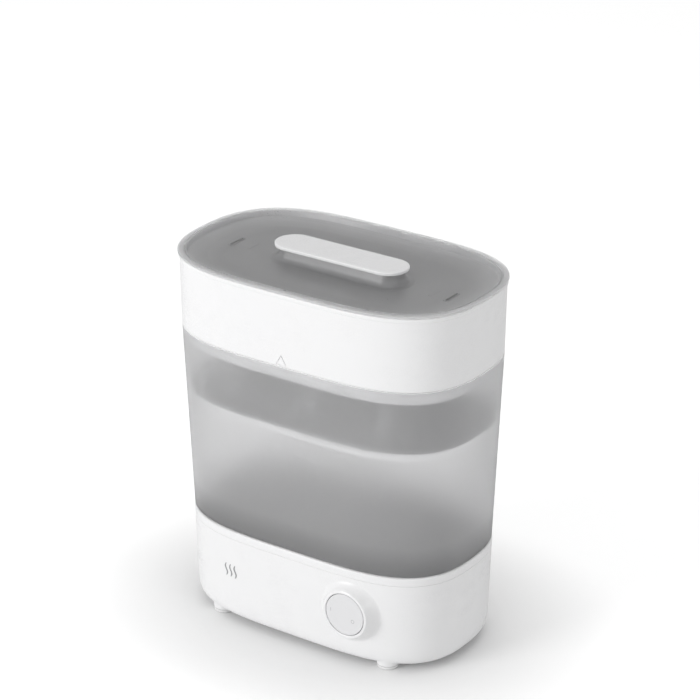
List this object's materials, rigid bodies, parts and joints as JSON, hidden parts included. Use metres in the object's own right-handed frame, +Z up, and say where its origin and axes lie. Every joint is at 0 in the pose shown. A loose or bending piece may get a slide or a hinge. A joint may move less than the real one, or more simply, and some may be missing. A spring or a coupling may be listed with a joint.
{
  "type": "bottle sterilizer",
  "caption": "Electric steam bottle sterilizer: a heated base with a push button, a large frosted basket with a cone tray in it, a small basket and a vented lid with a grip, stacked.",
  "frame": {"origin": "middle of the footprint, on the surface that the feet stand on", "axes": "+Z up through the stack, -Y out of the front with the button, +X to the right seen from the front"},
  "size_m": [0.29, 0.1744, 0.3428],
  "materials": {
    "white_plastic": "satin moulded polypropylene",
    "bowl_plastic": "satin moulded polypropylene",
    "frosted_plastic": "frosted translucent polypropylene",
    "frosted_lid": "frosted translucent polypropylene",
    "grey_plastic": "fine moulded texture",
    "coated_plate": "dark non-stick coating",
    "steel": "brushed",
    "foot_rubber": "matt",
    "silicone": "satin",
    "black_plastic": "moulded",
    "circuit_board": "solder mask",
    "wire_insulation": "satin"
  },
  "bodies": {
    "base": {"base_housing": "white_plastic", "water_bowl": "bowl_plastic", "bottom_cover": "white_plastic", "foot_rear_left": "foot_rubber", "foot_rear_right": "foot_rubber", "foot_front_left": "foot_rubber", "foot_front_right": "foot_rubber", "cover_screw_rear_left": "steel", "cover_screw_rear_right": "steel", "cover_screw_front_left": "steel", "cover_screw_front_right": "steel", "heating_plate": "coated_plate", "plate_seal": "silicone", "heating_element": "steel", "thermostat": "black_plastic", "thermostat_bracket": "steel", "bracket_screw_front": "steel", "bracket_screw_rear": "steel", "thermal_fuse": "black_plastic", "control_board": "circuit_board", "board_screw_left": "steel", "board_screw_right": "steel", "button_switch": "black_plastic", "mains_inlet": "black_plastic", "wire_live": "wire_insulation", "wire_neutral": "wire_insulation", "wire_element": "wire_insulation"},
    "power_button": {"power_button": "white_plastic"},
    "large_basket": {"large_basket": "frosted_plastic"},
    "tray": {"bottle_tray": "grey_plastic"},
    "small_basket": {"small_basket": "white_plastic"},
    "lid": {"lid_shell": "frosted_lid", "lid_handle": "white_plastic"}
  },
  "joints": [
    {"name": "power_button_press", "type": "slide", "parent": "base", "child": "power_button", "axis": [0, 1, 0], "range_m": [0, 0.002], "stiffness_N_per_m": 900},
    {"name": "large_basket_lift", "type": "slide", "parent": "base", "child": "large_basket", "axis": [0, 0, 1], "range_m": [0, 0.0475]},
    {"name": "tray_lift", "type": "slide", "parent": "large_basket", "child": "tray", "axis": [0, 0, -1], "range_m": [-0.015, 0]},
    {"name": "small_basket_lift", "type": "slide", "parent": "large_basket", "child": "small_basket", "axis": [0, 0, 1], "range_m": [0, 0.0826]},
    {"name": "lid_lift", "type": "slide", "parent": "small_basket", "child": "lid", "axis": [0, 0, 1], "range_m": [0, 0.0421]}
  ]
}
